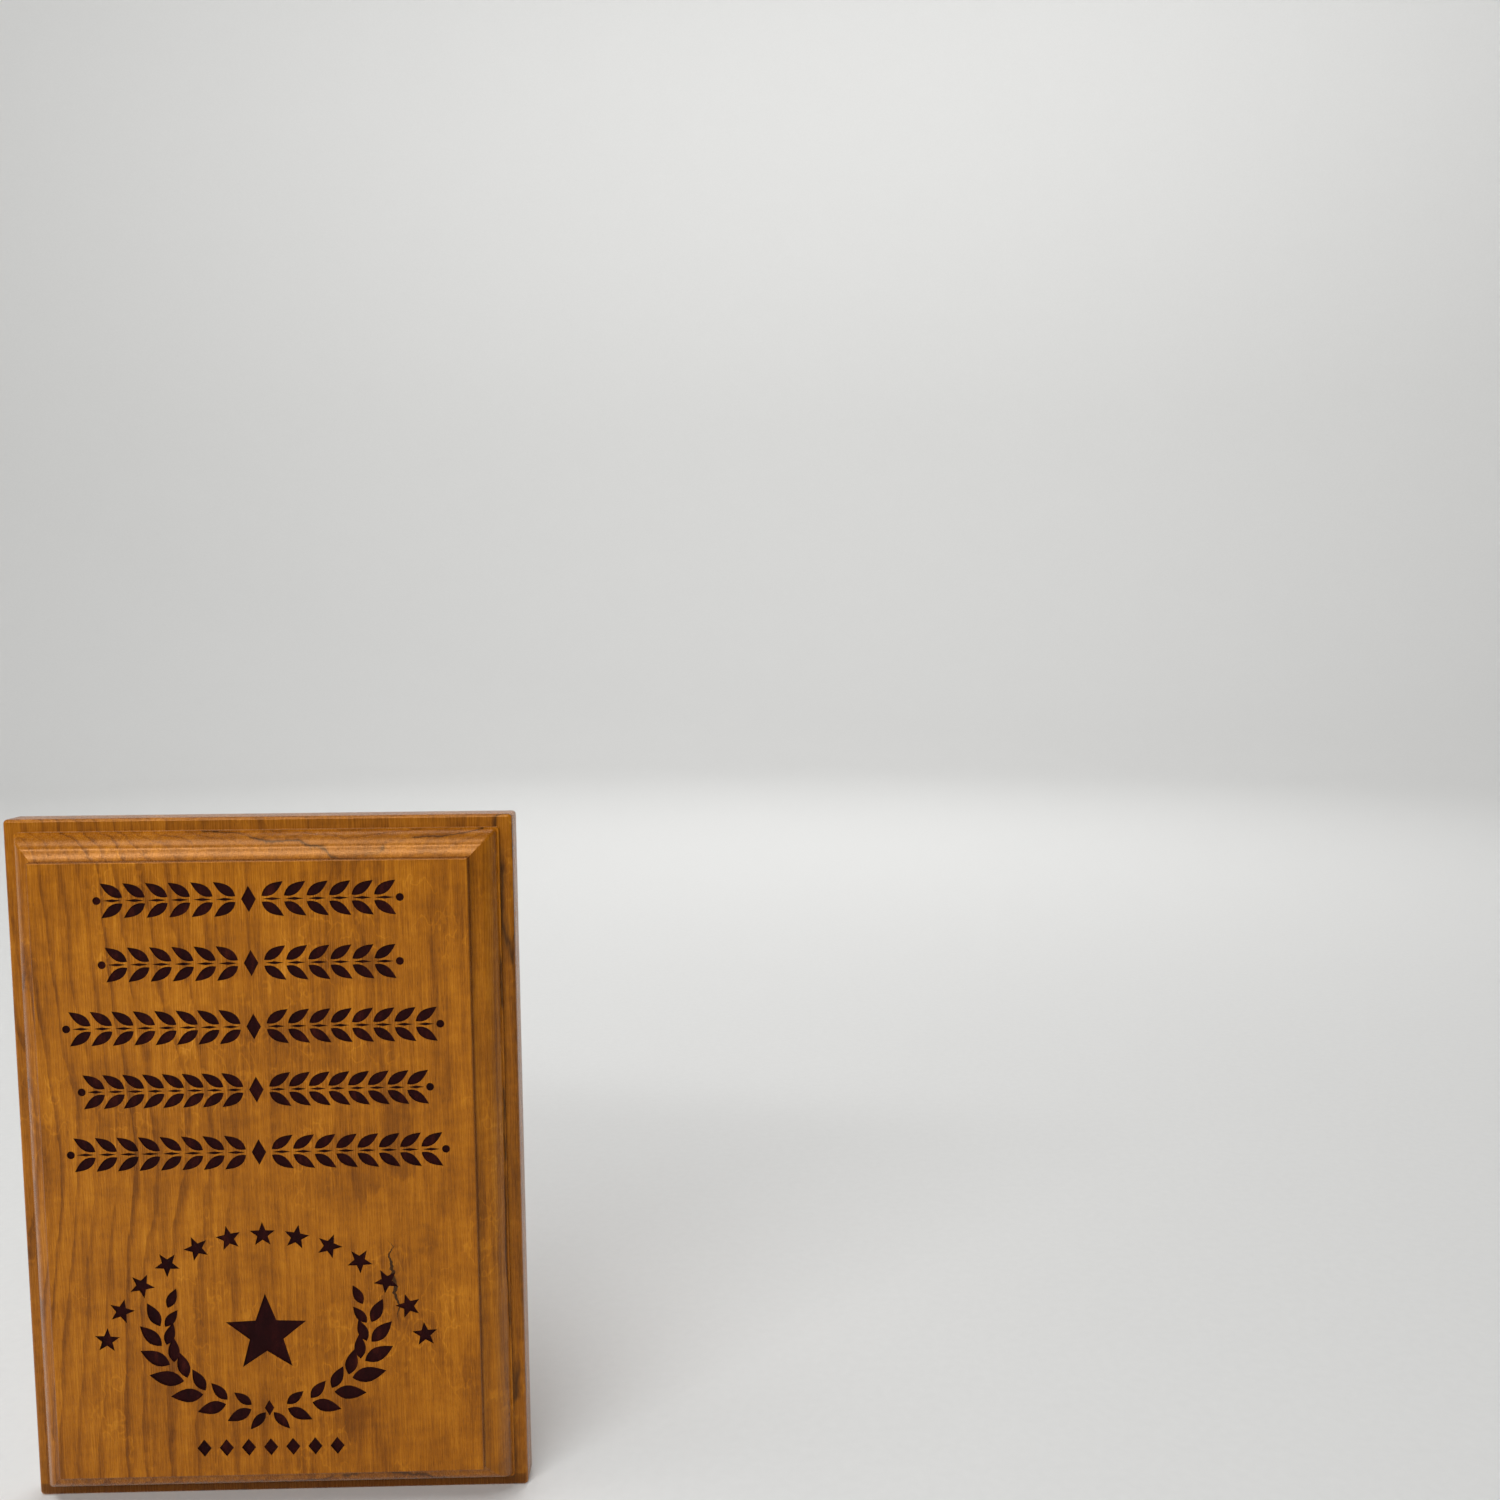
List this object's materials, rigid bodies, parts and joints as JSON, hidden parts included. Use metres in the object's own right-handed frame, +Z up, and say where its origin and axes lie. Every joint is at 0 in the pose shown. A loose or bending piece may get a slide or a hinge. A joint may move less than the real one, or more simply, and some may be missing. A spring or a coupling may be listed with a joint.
{
  "type": "wooden award plaque",
  "caption": "Upright rectangular award plaque of edge-glued cherry with a routed bead and cove edge, hung on a wall by a keyhole plate let into its back.",
  "frame": {"origin": "on the back plane, where the shank of the wall screw sits at the top of the keyhole slot", "axes": "+Z up the plaque, +X to the right of someone facing it, front face towards -Y, wall towards +Y"},
  "size_m": [0.127, 0.0179, 0.1778],
  "materials": {
    "cherry": "satin clear lacquer over cherry, with the engraving burnt dark brown",
    "plate_steel": "zinc plated, pressed sheet",
    "screw_steel": "yellow zinc plated",
    "bumper_rubber": "clear soft polyurethane"
  },
  "bodies": {
    "root": {"stave_left": "cherry", "stave_right": "cherry", "keyhole_plate": "plate_steel", "plate_screw_upper": "screw_steel", "plate_screw_lower": "screw_steel", "bumper_top_left": "bumper_rubber", "bumper_top_right": "bumper_rubber", "bumper_bottom_left": "bumper_rubber", "bumper_bottom_right": "bumper_rubber"}
  },
  "joints": []
}
